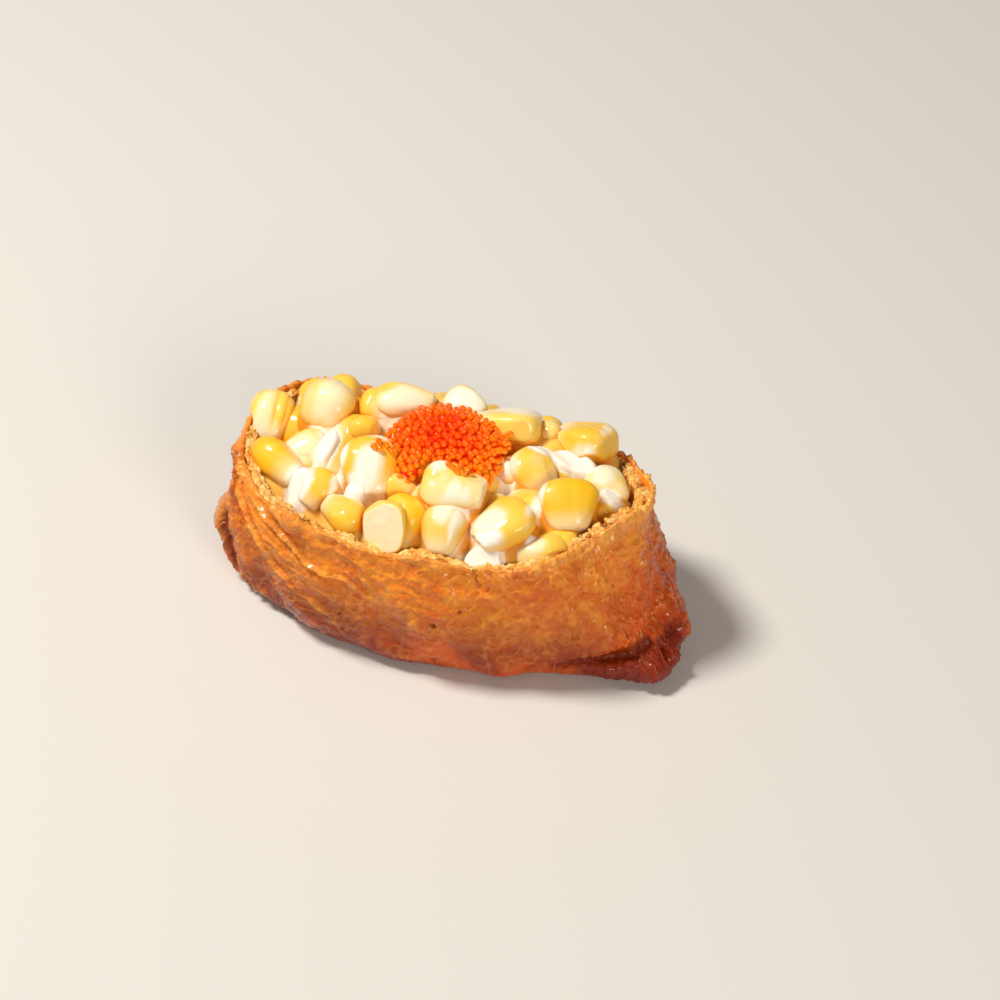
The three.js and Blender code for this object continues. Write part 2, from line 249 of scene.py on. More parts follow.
def placed(name, bm, material):
    mesh = bpy.data.meshes.new(name)
    bm.to_mesh(mesh)
    bm.free()
    mesh.materials.append(material)
    return linked(name, mesh)


def put(name, bm, material):
    """A finished mesh in millimetres becomes a smooth piece in metres that rides on the one body."""
    bmesh.ops.scale(bm, vec=(MM, MM, MM), verts=bm.verts)
    piece = placed(name, bm, material)
    for polygon in piece.data.polygons:
        polygon.use_smooth = True
    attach(piece, "root")
    return piece


# ---- Node helpers

def fill(tree, socket, value):
    """Gives a socket its value, or links it to another socket."""
    if isinstance(value, bpy.types.NodeSocket):
        tree.links.new(value, socket)
    else:
        socket.default_value = value


def add(tree, kind, inputs=(), **settings):
    """A node with its settings, and its inputs given as values or as sockets to link from."""
    new = tree.nodes.new(kind)
    for key, value in settings.items():
        setattr(new, key, value)
    for key, value in dict(inputs).items():
        fill(tree, new.inputs[key], value)
    return new


def blend(tree, mask, low, high):
    """Colour that goes from low to high with the mask."""
    mix = add(tree, "ShaderNodeMix", {"Factor": mask}, data_type="RGBA")
    for socket, value in ((mix.inputs[6], low), (mix.inputs[7], high)):
        fill(tree, socket, (*value, 1.0) if isinstance(value, tuple) else value)
    return mix.outputs[2]


def between(tree, value, low, high, to_low=0.0, to_high=1.0):
    """A value that runs from low to high, mapped smoothly."""
    inputs = {"Value": value, "From Min": low, "From Max": high, "To Min": to_low, "To Max": to_high}
    return add(tree, "ShaderNodeMapRange", inputs, interpolation_type="SMOOTHSTEP").outputs["Result"]


def combined(tree, first, second, operation="ADD"):
    return add(tree, "ShaderNodeMath", {0: first, 1: second}, operation=operation).outputs[0]


def mark(tree, name):
    return add(tree, "ShaderNodeAttribute", attribute_name=name).outputs["Fac"]


def grain_noise(tree, scale, detail=2.0, **inputs):
    """A fine even grain, as a height."""
    return add(tree, "ShaderNodeTexNoise", {"Scale": scale, "Detail": detail, **inputs}).outputs["Fac"]


def tinted(tree, colour, **tints):
    """Each named mark lays its tint over the colour, in turn."""
    for name, tint in tints.items():
        colour = blend(tree, mark(tree, name), colour, tint)
    return colour


def new_group(name, inputs, output):
    tree = bpy.data.node_groups.new(name, "ShaderNodeTree")
    for label, value in inputs:
        socket = tree.interface.new_socket(name=label, in_out="INPUT", socket_type="NodeSocketFloat")
        socket.default_value = value
    tree.interface.new_socket(name=output, in_out="OUTPUT", socket_type="NodeSocketFloat")
    return tree, tree.nodes.new("NodeGroupInput"), tree.nodes.new("NodeGroupOutput")


def mottle_group():
    """Uneven patches: a mask of soft blotches with a finer grain inside them."""
    inputs = [("Scale", 200.0), ("Grain", 0.5), ("Low", 0.4), ("High", 0.6)]
    tree, entry, leave = new_group("mottle", inputs, "Mask")
    place = add(tree, "ShaderNodeTexCoord").outputs["Object"]
    blotches = add(tree, "ShaderNodeTexNoise", {
        "Vector": place,
        "Scale": entry.outputs["Scale"],
        "Detail": 5.0,
        "Roughness": entry.outputs["Grain"],
    })
    mask = between(tree, blotches.outputs["Fac"], entry.outputs["Low"], entry.outputs["High"])
    tree.links.new(mask, leave.inputs["Mask"])
    return tree


PORES_BEND = 0.0006  # how far blisters leave their even cells, in metres


def pores_group():
    """Fine surface of fried food: small blisters with a grain between them, as a height."""
    tree, entry, leave = new_group("pores", [("Scale", 1200.0), ("Blisters", 0.5)], "Height")
    place = add(tree, "ShaderNodeTexCoord").outputs["Object"]
    bent = add(tree, "ShaderNodeTexNoise", {"Vector": place, "Scale": 400.0, "Detail": 2.0})
    shift = {0: bent.outputs["Color"], "Scale": PORES_BEND}
    shift = add(tree, "ShaderNodeVectorMath", shift, operation="SCALE").outputs[0]
    moved = add(tree, "ShaderNodeVectorMath", {0: place, 1: shift}, operation="ADD").outputs[0]
    blisters = {"Vector": moved, "Scale": entry.outputs["Scale"]}
    blisters = add(tree, "ShaderNodeTexVoronoi", blisters, feature="SMOOTH_F1").outputs["Distance"]
    domes = combined(tree, 1.0, blisters, "SUBTRACT")
    domes = combined(tree, domes, entry.outputs["Blisters"], "MULTIPLY")
    grain = grain_noise(tree, 2600.0, detail=3.0, Vector=moved)
    tree.links.new(combined(tree, domes, grain), leave.inputs["Height"])
    return tree


MOTTLE = mottle_group()
PORES = pores_group()


def group_output(tree, group, inputs, output):
    """A shared effect placed in a material with its own values."""
    new = tree.nodes.new("ShaderNodeGroup")
    new.node_tree = group
    for key, value in inputs.items():
        new.inputs[key].default_value = value
    return new.outputs[output]


def mottled(tree, scale, low=0.4, high=0.6, grain=0.5):
    return group_output(tree, MOTTLE, {"Scale": scale, "Grain": grain, "Low": low, "High": high}, "Mask")


def food_material(name, wetness, gloss, glow, glow_depth):
    """A moist food: its Principled shader with a wet coat and light scattered inside."""
    material = bpy.data.materials.new(name)
    material.use_nodes = True
    tree = material.node_tree
    shader = tree.nodes["Principled BSDF"]
    for socket, value in {
        "Coat Weight": wetness,
        "Coat Roughness": gloss,
        "Coat IOR": 1.36,
        "Specular IOR Level": 0.2,
        "Subsurface Weight": glow,
        "Subsurface Radius": glow_depth,
        "Subsurface Scale": MM,
    }.items():
        shader.inputs[socket].default_value = value
    return material, tree, shader


def feed(tree, shader, colour, roughness, height=None, depth=0.0, lit=0.0):
    """Colour, roughness, a bump of that depth in metres, and a painted glow: light of its own colour
    given off, for clear eggs.
    """
    tree.links.new(colour, shader.inputs["Base Color"])
    fill(tree, shader.inputs["Roughness"], roughness)
    if height is not None:
        bump = add(tree, "ShaderNodeBump", {"Height": height, "Distance": depth, "Strength": 1.0})
        tree.links.new(bump.outputs[0], shader.inputs["Normal"])
    if lit:
        tree.links.new(colour, shader.inputs["Emission Color"])
        shader.inputs["Emission Strength"].default_value = lit


# ---- Materials

def fried_skin_material():
    material, tree, shader = food_material("fried_tofu_skin", 0.6, 0.09, 0.1, (0.5, 0.25, 0.1))
    place = add(tree, "ShaderNodeTexCoord").outputs["Object"]
    height = add(tree, "ShaderNodeSeparateXYZ", {0: place}).outputs["Z"]
    up_the_wall = between(tree, height, 0.003, 0.018)
    # Darker and redder towards the foot: partly the skin's own deeper colour there, partly painted shade
    # at the foot.
    colour = blend(tree, between(tree, height, 0.001, 0.020), (0.26, 0.008, 0.0005), (0.87, 0.235, 0.009))
    colour = blend(tree, mottled(tree, 150.0, 0.44, 0.68), colour, (0.66, 0.10, 0.004))
    golden = combined(tree, mottled(tree, 560.0, 0.46, 0.70, 0.62), up_the_wall, "MULTIPLY")
    colour = blend(tree, golden, colour, (0.88, 0.32, 0.022))
    # Partly painted light: a lighter golden colour on raised parts and the left ear, and a brighter,
    # redder lower right end, which faces away from the key light.
    colour = tinted(tree, colour, warm=(0.80, 0.090, 0.003), ridge=(1.0, 0.47, 0.085))
    # Painted shade: darker in valleys, seams and holes, and darkest on the flap folded under the
    # right-hand seam.
    colour = tinted(tree, colour, deep=(0.19, 0.010, 0.001), hollow=(0.24, 0.026, 0.003))
    roughness = between(tree, mottled(tree, 900.0, 0.35, 0.65), 0.0, 1.0, 0.28, 0.50)
    pores = group_output(tree, PORES, {"Scale": 1300.0, "Blisters": 1.4}, "Height")
    feed(tree, shader, colour, roughness, pores, 0.00022)
    return material


def sponge_material():
    material, tree, shader = food_material("tofu_sponge", 0.4, 0.2, 0.15, (0.6, 0.35, 0.15))
    colour = blend(tree, mottled(tree, 420.0, 0.35, 0.65), (0.84, 0.38, 0.06), (0.98, 0.64, 0.20))
    # Painted shade: darker in the gaps between crumbs and in the holes.
    colour = tinted(tree, colour, hollow=(0.58, 0.17, 0.018))
    pores = group_output(tree, PORES, {"Scale": 2200.0, "Blisters": 1.4}, "Height")
    feed(tree, shader, colour, 0.42, pores, 0.00012)
    return material


def kernel_material():
    material, tree, shader = food_material("sweetcorn_kernel", 0.6, 0.06, 0.18, (0.7, 0.35, 0.08))
    colour = blend(tree, mark(tree, "tone"), (0.97, 0.67, 0.13), (0.97, 0.52, 0.010))
    colour = blend(tree, mottled(tree, 330.0, 0.55, 0.8), colour, (0.97, 0.67, 0.09))
    # Painted shade: deep orange in the crevices between the kernels and on their undersides.
    colour = tinted(tree, colour, glow=(0.94, 0.33, 0.006), pale=(0.98, 0.80, 0.48))
    colour = tinted(tree, colour, coat=(0.98, 0.92, 0.80))
    roughness = between(tree, mark(tree, "pale"), 0.0, 1.0, 0.20, 0.40)
    feed(tree, shader, colour, roughness, grain_noise(tree, 700.0), 0.00004)
    return material


def mayonnaise_material():
    material, tree, shader = food_material("mayonnaise", 0.5, 0.10, 0.15, (0.6, 0.4, 0.25))
    colour = blend(tree, mark(tree, "thin"), (0.97, 0.89, 0.76), (0.97, 0.84, 0.60))
    # Painted shade: the bare film in the gaps between the kernels is a deep amber, lighter and yellower
    # along the wall.
    bare = blend(tree, mark(tree, "wall"), (0.78, 0.30, 0.015), (0.94, 0.60, 0.14))
    colour = blend(tree, mark(tree, "milk"), bare, colour)
    feed(tree, shader, colour, 0.25, grain_noise(tree, 500.0), 0.00004)
    return material


def roe_material():
    material, tree, shader = food_material("fish_roe", 0.4, 0.05, 0.35, (0.6, 0.12, 0.015))
    shader.inputs["Specular IOR Level"].default_value = 1.0
    shader.inputs["Specular Tint"].default_value = (1.0, 0.60, 0.22, 1.0)
    colour = blend(tree, mark(tree, "amber"), (0.96, 0.018, 0.0002), (1.0, 0.17, 0.001))
    # Painted light: a brighter crescent on each egg's lower side.
    colour = tinted(tree, colour, glow=(1.0, 0.42, 0.006))
    # Painted glow: the eggs give off a little light of their own colour.
    feed(tree, shader, colour, 0.12, lit=0.08)
    return material


def roe_core_material():
    material, tree, shader = food_material("fish_roe_juice", 0.1, 0.3, 0.15, (0.4, 0.1, 0.02))
    colour = blend(tree, mottled(tree, 500.0), (0.74, 0.022, 0.0005), (0.92, 0.08, 0.001))
    # Painted glow: the juice under the eggs gives off a little light of its own colour, so the gaps
    # between the eggs stay bright.
    feed(tree, shader, colour, 0.6, lit=0.15)
    return material


# ---- The tofu pocket

AROUND = 800
OUTER_ROWS = 92  # rows of the wall from the foot's widest line to the rim
FOOT_ROWS = 12
UNDER_SHARES = (0.45, 0.8, 0.96)  # rows of the underside
UNDER_ROWS = len(UNDER_SHARES) + 1
EDGE = 0.55  # thickness of the fried skin
EDGE_ROWS = ((0.5, 0.05), (1.0, -0.1))  # rows over its edge: across and up
LINING_LEVELS = (0.96, 0.85, 0.6, 0.3)  # rows down its inner side
NOTCH_TURN = 13.1  # a split in the rim

# The folds of the left end spread like a fan from a point over the rim. Crests that stand out: the slope
# below the level, in radians, and the height as a share of the highest.
FAN_TURN = 9.4
FAN_HEIGHT = 24.3
FAN_CRESTS = [
    (0.21, 0.4), (0.38, 1.0), (0.54, 0.35), (0.69, 0.9),
    (0.90, 0.5), (1.16, 0.7), (1.48, 0.4), (1.9, 0.3),
]

# Narrow seams: points as turns and heights, half width and depth.
SEAMS = [
    ([(14.1, 2.6), (14.62, 4.4), (15.24, 5.2), (15.94, 6.4)], 0.5, 1.4),
    ([(9.2, 11.3), (9.8, 3.7)], 0.9, 0.9),
    ([(NOTCH_TURN, 21.2), (NOTCH_TURN + 0.1, 17.9)], 0.34, 0.45),
]
# Holes in the skin: place in stations, height, radius and depth.
HOLES = [    (16.14, 4.9, 1.0, 1.8), (11.50, 7.8, 0.32, 0.6), (12.60, 10.6, 0.42, 0.8),
    (12.94, 13.8, 0.30, 0.4), (12.55, 2.4, 0.40, 0.6), (15.40, 8.2, 0.35, 0.5),
]


def fine_columns(around):
    return [Column(COUNT * i / around) for i in range(around)]


def rim_rag(column):
    """Height of the torn edge of the skin over the even rim."""
    p = (column.rim.x, column.rim.y, 0.0)
    rag = 0.30 * ripple(p, 2.2, 3.0) + 0.24 * ripple(p, 0.8, 5.0)
    return rag - 0.8 * bell(from_station(NOTCH_TURN, column.turn), 0.08)


def fan_folds(turn, p):
    """Folds that spread from the gathered left corner: height, nearness of a crest, depth of a valley."""
    run = from_station(FAN_TURN, turn) * STATION_LENGTH
    drop = FAN_HEIGHT - p.z
    radius = hypot(run, drop)
    bend = 2.0 * ripple(p, 7.0, 1.0) + 0.9 * ripple(p, 2.6, 2.0) + 0.25 * ripple(p, 1.0, 3.0)
    angle = atan2(drop, run) + bend / (radius + 3.0)
    reach = lerp(12.0, 40.0, smooth(-6.0, 6.0, run))
    near = smooth(reach, 0.4 * reach, radius)
    broad = noise.noise(Vector((angle * 4.0, radius / 15.0, 4.0)))
    lines = noise.noise(Vector((angle * 9.5, radius / 9.0, 9.0)))
    crest = 0.55 * thread(lines, 0.10) * smooth(-0.1, 0.3, ripple(p, 4.0, 5.0))
    width = 0.32 + 0.16 * ripple(p, 3.0, 8.0)
    named = max(share * bell((angle - place) * radius, width) for place, share in FAN_CRESTS)
    crest = max(crest, named * smooth(-0.35, 0.15, ripple(p, 5.0, 6.0)))
    return near * (1.25 * broad + 0.80 * crest), near * crest, near * clamp01(-1.5 * broad - 0.2)


def seam_distance(points, turn, z):
    """Millimetres along the wall from a place on it to a seam."""
    first = points[0][0]
    if abs(from_station(first, turn)) > 3.0:
        return 99.0
    here = Vector((from_station(first, turn) * STATION_LENGTH, z))
    flat = [Vector((from_station(first, t) * STATION_LENGTH, h)) for t, h in points]
    best = 99.0
    for start, end in zip(flat, flat[1:]):
        line = end - start
        share = clamp01((here - start).dot(line) / line.length_squared)
        best = min(best, (here - start - line * share).length)
    return best


def openings_depth(turn, z):
    """Depth of the seams and holes at a place on the wall."""
    depth = 0.0
    for points, half_width, full in SEAMS:
        depth = max(depth, full * bell(seam_distance(points, turn, z), half_width))
    for place, level, radius, full in HOLES:
        away = hypot(from_station(place, turn) * STATION_LENGTH, z - level)
        depth = max(depth, full * smooth(1.3 * radius, 0.5 * radius, away))
    return depth


def flap_share(turn, z):
    """1 on the folded flap under the right-hand seam, 0 elsewhere."""
    seam_height = lerp(2.6, 6.6, clamp01(from_station(14.1, turn) / 1.9))
    return smooth(-0.3, 0.8, seam_height - z) * smooth(14.2, 15.0, turn) * smooth(17.0, 16.6, turn)


def skin_relief(column, p):
    """Height of the fried skin over its plain form, and its marks: a lighter golden colour that is partly
    painted light, painted shade in hollows, painted shade on the folded flap, and a redder lower right
    end that is partly painted light.
    """
    turn = column.turn
    right = smooth(13.6, 15.2, turn) if turn > 8 else smooth(2.4, 0.8, turn)
    folds, crest, valley = fan_folds(turn, p)
    under_rim = column.rim.z - p.z
    soft = 0.45 * ripple(p, 6.5, 7.0) + 0.34 * ripple((p.x, p.y, 1.8 * p.z), 2.8, 2.0)
    dome, gap = cells((p.x, p.y, p.z + 0.5 * ripple(p, 1.6, 8.0)), 1.5)
    blister = dome * smooth(-0.3, 0.3, ripple(p, 4.0, 11.0))
    grain = cells(p, 0.62, 3.0)[0]
    curl = thread(ripple(p, 1.7, 41.0), 0.13) * smooth(-0.25, 0.25, ripple(p, 5.0, 43.0))
    # Upright puckers hang from the rim, furthest down at the right end.
    pucker = ripple((p.x, p.y, 0.22 * p.z), 1.25, 13.0)
    hang = smooth(lerp(3.6, 9.0, right), 0.6, under_rim)
    # Level wrinkles where the foot turns in.
    tuck = ripple((p.x / 3.5, p.y / 3.5, p.z), 1.0, 47.0) * smooth(6.5, 2.5, p.z)
    opened = openings_depth(turn, p.z)
    flap = flap_share(turn, p.z)
    plain = 1.0 - 0.55 * clamp01(2.0 * crest + valley)
    fine = lerp(0.24, 0.50, right) * blister + lerp(0.12, 0.22, right) * grain + 0.30 * curl
    height = 1.25 * folds + soft + plain * fine
    height += 0.28 * pucker * hang + 0.22 * tuck + 0.25 * flap * ripple(p, 1.3, 51.0) - opened
    # Lighter golden colour on crests, curls, blisters, the band under the rim and the left ear: partly
    # the skin's own golden colour, partly painted light on raised parts and on the left ear, which lies
    # in shade.
    ridge = 0.60 * crest + 0.26 * curl + 0.16 * blister
    ridge += lerp(0.30, 0.60, right) * smooth(lerp(1.0, 3.2, right), 0.2, under_rim)
    left_ear = 0.35 * bell(from_station(EARS[1][0], turn), 0.7) * bell(p.z - 8.0, 4.5)
    ridge += 0.25 * clamp01(pucker) * hang + left_ear
    # Redder and brighter at the lower right end: partly the skin's own redder colour, partly painted
    # light, as that end faces away from the key light.
    warm = 0.55 * smooth(24.0, 32.0, p.x) * smooth(21.0, 13.0, p.z)
    # Painted shade: darker in fold valleys, seams, holes and between puckers.
    hollow = 0.5 * valley + 1.2 * opened + 0.12 * clamp01(-2.0 * pucker) * hang
    # The flap folded under the right-hand seam is darkened with painted shade.
    return height, ridge * (1.0 - flap), hollow, 0.85 * flap, warm


def skin_piece():
    columns = fine_columns(AROUND)
    top_row = UNDER_ROWS + FOOT_ROWS + OUTER_ROWS
    last_edge_row = top_row + len(EDGE_ROWS)
    rows = last_edge_row + len(LINING_LEVELS) + 1

    def place(index, row):
        column = columns[index]
        if row == 0:
            return Vector((0.0, 0.0, 0.0))
        if row < UNDER_ROWS:
            p = column.under(0.0, 0.0)
            share = UNDER_SHARES[row - 1]
            return Vector((p.x * share, p.y * share, 0.0))
        if row <= UNDER_ROWS + FOOT_ROWS:
            return column.under(0.5 * pi * (row - UNDER_ROWS) / FOOT_ROWS, 0.0)
        if row <= top_row:
            level = (row - UNDER_ROWS - FOOT_ROWS) / OUTER_ROWS
            p = column.wall(level, 0.0)
            p.z += rim_rag(column) * level ** 12
            return p
        if row <= last_edge_row:
            across, up = EDGE_ROWS[row - top_row - 1]
            p = column.wall(1.0, EDGE * across)
            p.z += rim_rag(column) + up
            return p
        if row < rows:
            return column.wall(LINING_LEVELS[row - last_edge_row - 1], EDGE + 0.15)
        return Vector((0.0, 0.0, FOOT_HEIGHT))

    bm = wrapped_grid(AROUND, rows, place)
    column_of, row_of = bm.verts.layers.int["column"], bm.verts.layers.int["row"]

    def relief(v):
        if not UNDER_ROWS < v[row_of] <= top_row + 1:
            return 0.0, 0.0, 0.0, 0.0, 0.0
        height, ridge, hollow, deep, warm = skin_relief(columns[v[column_of]], v.co)
        fade = smooth(0.0, 2.2, v.co.z) * (0.5 if v[row_of] > top_row else 1.0)
        return height * fade, ridge, hollow, deep, warm

    carve(bm, relief, ("ridge", "hollow", "deep", "warm"))
    return bm


def sponge_relief(p):
    """Rounded crumbs with narrow gaps between them and a few deep holes."""
    bent = p + 0.9 * noise.noise_vector(p / 1.3) + 0.35 * noise.noise_vector(p / 0.5)
    crumb, wall = cells(bent, 1.2)
    fine = cells(bent, 0.5, 7.0)[0]
    gap = smooth(0.14, 0.0, wall)
    hole = smooth(0.25, 0.5, ripple(p, 1.9, 23.0))
    height = 0.40 * ripple(p, 2.4, 29.0) + 0.22 * crumb + 0.14 * fine - 0.34 * gap - 0.9 * hole - 0.15
    # The second value is painted shade, darker in the gaps between crumbs and in the holes.
    return height, 0.5 * gap + 0.25 * smooth(0.4, 0.0, crumb) + 0.8 * hole


def evenly(start, run, count):
    return [start + run * k / (count - 1) for k in range(count)]


def sponge_piece():
    columns = fine_columns(AROUND)
    # Levels behind the skin, insets over the top and levels down the inner side.
    outer = (0.5, 0.6, 0.7, 0.8, 0.9, 0.96)
    top = evenly(0.4, SKIN - 0.5, 14)
    inner = evenly(0.97, -0.42, 18)
    first_top = len(outer)
    first_inner = first_top + len(top)
    rows = first_inner + len(inner) + 1

    def place(index, row):
        column = columns[index]
        if row < first_top:
            return column.wall(outer[row], 1.0)
        if row < first_inner:
            inset = top[row - first_top]
            p = column.wall(1.0, inset)
            p.z += rim_rag(column) * 0.6 - 0.15 - 0.5 * ((inset - 0.5 * SKIN) / SKIN) ** 2
            return p
        if row < rows - 1:
            return column.wall(inner[row - first_inner], SKIN + 0.05)
        return column.wall(0.5, SKIN - 0.6)

    bm = wrapped_grid(AROUND, rows, place, closed_section=True)
    row_of = bm.verts.layers.int["row"]

    def relief(v):
        return sponge_relief(v.co) if v[row_of] >= first_top else (0.0, 0.0)

    carve(bm, relief, ("hollow",))
    return bm


# ---- The sweetcorn

HEAP_MIDDLE = Vector((-0.6, 2.2, 0.0)) - MIDDLE
HEAP_HALF_LENGTH = 31.5
HEAP_HALF_WIDTH = 19.5
HEAP_TOP = 24.2
HEAP_EDGE = 18.0
KERNEL_LIFT = 1.8  # middle of a kernel over the heap's form


def heap_height(x, y):
    """Height of the heap's form over a point of the plan."""
    share = hypot((x - HEAP_MIDDLE.x) / HEAP_HALF_LENGTH, (y - HEAP_MIDDLE.y) / HEAP_HALF_WIDTH)
    return lerp(HEAP_TOP, HEAP_EDGE, clamp01(share) ** 2)


# Each kernel: place in plan and lift; turn and rise of its crown and its roll, in degrees; width, length
# and thickness; and tone, from 0, cream, to 1, deep yellow.
KERNELS = [
    ((-28.6, 3.2, 1.0), (100, 32, 5), (6.8, 8.4, 5.3), 0.35),
    ((-25.4, 10.9, 0.1), (70, 30, -10), (5.9, 6.1, 4.4), 0.5),
    ((-23.6, -6.2, 0.6), (150, 4, 55), (6.5, 9.8, 5.5), 1.0),
    ((-19.9, 4.7, 1.4), (-100, 38, 0), (8.0, 8.0, 8.4), 0.3),
    ((-20.6, 10.0, 0.2), (10, 36, 30), (6.8, 7.2, 5.2), 0.6),
    ((-20.7, -2.0, -0.6), (35, 10, 15), (5.5, 6.3, 3.8), 0.2),
    ((-15.7, -10.0, 0.2), (62, 32, 25), (5.5, 6.3, 4.5), 0.75),
    ((-14.5, 11.5, -1.6), (160, 8, -15), (4.2, 4.8, 3.1), 0.5),
    ((-13.3, 1.4, 0.2), (-60, 40, 0), (4.5, 5.1, 4.2), 0.7),
    ((-13.3, 7.0, 0.4), (176, 6, -30), (5.9, 6.1, 4.5), 0.55),
    ((-10.4, -13.2, 0.2), (-22, 2, 18), (5.5, 7.3, 4.6), 0.85),
    ((-9.2, -6.2, 1.0), (118, 34, -4), (8.6, 9.4, 5.5), 0.9),
    ((-9.7, 8.1, 1.4), (193, 2, -20), (5.6, 9.4, 4.3), 0.4),
    ((-3.4, -14.7, 1.5), (-100, 24, 12), (6.4, 5.5, 7.3), 0.15),
    ((-1.3, 10.5, 0.8), (172, 8, -28), (6.3, 6.7, 4.3), 0.1),
    ((-1.8, -12.6, 0.2), (80, 42, 0), (7.0, 7.8, 5.2), 0.95),
    ((3.8, -7.5, 1.6), (186, 2, -30), (7.0, 9.3, 5.2), 0.2),
    ((4.2, -12.7, 0.6), (98, 38, 0), (6.5, 7.4, 4.9), 0.7),
    ((5.8, 12.2, -1.2), (30, 8, -15), (5.5, 6.5, 4.2), 0.5),
    ((6.6, 8.5, 0.8), (12, 4, -28), (7.5, 9.7, 5.3), 0.1),
    ((7.0, -8.7, -1.8), (80, 25, 10), (6.0, 7.1, 4.7), 0.8),
    ((6.5, -3.5, -1.0), (90, 40, 0), (5.2, 5.7, 4.3), 0.6),
    ((11.7, 10.2, 0.6), (50, 32, 0), (3.8, 4.4, 3.4), 0.45),
    ((12.4, -10.0, 1.3), (52, 20, -5), (7.9, 9.2, 5.1), 0.6),
    ((12.8, 1.0, 0.4), (150, 22, -10), (6.4, 7.5, 4.4), 0.55),
    ((17.4, 10.8, 1.4), (-14, 14, -20), (7.3, 9.1, 5.6), 0.7),
    ((18.2, -10.5, -0.1), (26, 8, -20), (5.5, 7.6, 4.6), 0.4),
    ((19.7, -3.6, 1.7), (112, 36, 0), (8.4, 7.8, 5.1), 0.95),
    ((23.0, 3.5, 0.8), (150, 16, 0), (5.9, 6.7, 4.4), 0.2),
]
PLUMP = 2.3  # the kernels' form: 2 is an ellipsoid, and more is squarer
# By place in the list: kernels squarer than the rest, with so much of the crown sliced off, and with
# lengthwise grooves so deep.
SQUARE = {13: 2.9, 16: 3.2, 19: 3.0, 25: 3.1, 27: 2.6, 23: 2.5}
SLICED = {13: 0.45}
GROOVED = {0: 0.09, 27: 0.035, 25: 0.05, 3: 0.03}
FILLER_COUNT = 27
FILLER_HALF_X, FILLER_HALF_Y = 25.5, 11.5  # half widths of the oval that they lie in
FILLER_SIZE = (7.0, 8.0, 5.0)
FILLER_SPACING = 4.2
FILLER_LIFTS = (-2.4, -1.5)
# Places of the kernels along the back wall.
BACK_ROW = [
    (-18.6, 12.4), (-11.4, 13.7), (-5.6, 14.4), (0.2, 14.6),
    (9.6, 14.4), (14.2, 13.6), (21.6, 10.6),
]
BACK_ROW_LIFT = -3.5
KERNEL_DETAIL, FILLER_DETAIL = 5, 4  # how often their spheres are subdivided
KERNEL_HALF = (0.54, 0.55, 0.52)  # half width, length and thickness for a kernel of size 1
CUT = -0.8  # where the flat cut crosses a kernel, as a share of its half length
CUT_ROUNDING = 0.14
FACET_DISTANCES = (0.92, 1.04)  # in half sizes
CREAM_DIRECTION = Vector((-0.3, -0.1, 0.95))  # thin mayonnaise clings to what faces up


def kernel_matrix(place, turns):
    x, y, lift = place
    heading, rise = radians(turns[0]), radians(turns[1])
    ahead, aside = cos(heading), sin(heading)
    crown = Vector((ahead * cos(rise), aside * cos(rise), sin(rise)))
    face = Vector((-ahead * sin(rise), -aside * sin(rise), cos(rise)))
    face.rotate(Matrix.Rotation(radians(turns[2]), 3, crown))
    side = crown.cross(face)
    x, y = x - MIDDLE.x, y - MIDDLE.y
    matrix = Matrix((side, crown, face)).transposed().to_4x4()
    matrix.translation = Vector((x, y, heap_height(x, y) + KERNEL_LIFT + lift))
    return matrix


class KernelForm:
    """One kernel: a rounded block with a domed crown at +Y, a flat cut at -Y and facets of its own."""

    def __init__(self, index, size):
        draw = random.Random(index)
        self.half = [half * full for half, full in zip(KERNEL_HALF, size)]
        self.power = SQUARE.get(index, PLUMP)
        self.slice = SLICED.get(index, 0.0)
        self.groove = GROOVED.get(index, 0.01)
        self.groove_place = draw.uniform(-0.35, 0.35)
        self.seed = 1.7 * index
        self.facets = []
        for k in range(2 if index in SQUARE else 4):
            normal = Vector((draw.uniform(-1, 1), draw.uniform(-0.5, 0.9), draw.uniform(-1, 1)))
            self.facets.append((normal.normalized(), draw.uniform(*FACET_DISTANCES)))

    def pressed(self, p):
        """Flattens the form where the kernel was pressed against its neighbours on the cob."""
        for normal, distance in self.facets:
            beyond = p.dot(normal) - distance
            if beyond > 0:
                p = p - normal * beyond * 0.8 * smooth(0.0, 0.14, beyond)
        return p

    def point(self, d):
        """The point in one direction, its place from cut to crown, and how far it is on a cut."""
        total = abs(d.x) ** self.power + abs(d.y) ** self.power + abs(d.z) ** self.power
        p = self.pressed(d * total ** (-1.0 / self.power))
        rough = 0.04 * noise.noise(Vector((p.x * 4 + self.seed, p.z * 4, self.seed)))
        y = -soft_limit(-p.y, -CUT + rough, CUT_ROUNDING)
        on_cut = smooth(CUT + 0.05, CUT - 0.03, p.y)
        if self.slice:
            top = 1.0 - self.slice
            y = soft_limit(y, top + 0.5 * rough, CUT_ROUNDING)
            on_cut = max(on_cut, smooth(top - 0.04, top + 0.04, p.y))
        taper = lerp(0.72, 1.0, smooth(-0.8, 0.6, y))
        dent = 0.03 * bell(p.x, 0.4) * bell(p.z, 0.5) * smooth(0.5, 1.0, y)
        lumps = 1.0 + 0.05 * noise.noise(p * 1.5 + Vector((self.seed, self.seed, self.seed)))
        grooves = bell(p.x - self.groove_place, 0.09) + 0.6 * bell(p.x - self.groove_place - 0.42, 0.07)
        lumps -= self.groove * grooves * smooth(-0.7, 0.0, y)
        width, length, thickness = self.half
        point = Vector((
            width * taper * p.x * lumps,
            length * (y - dent - 0.1),
            thickness * sqrt(taper) * p.z * lumps,
        ))
        return point, y, on_cut


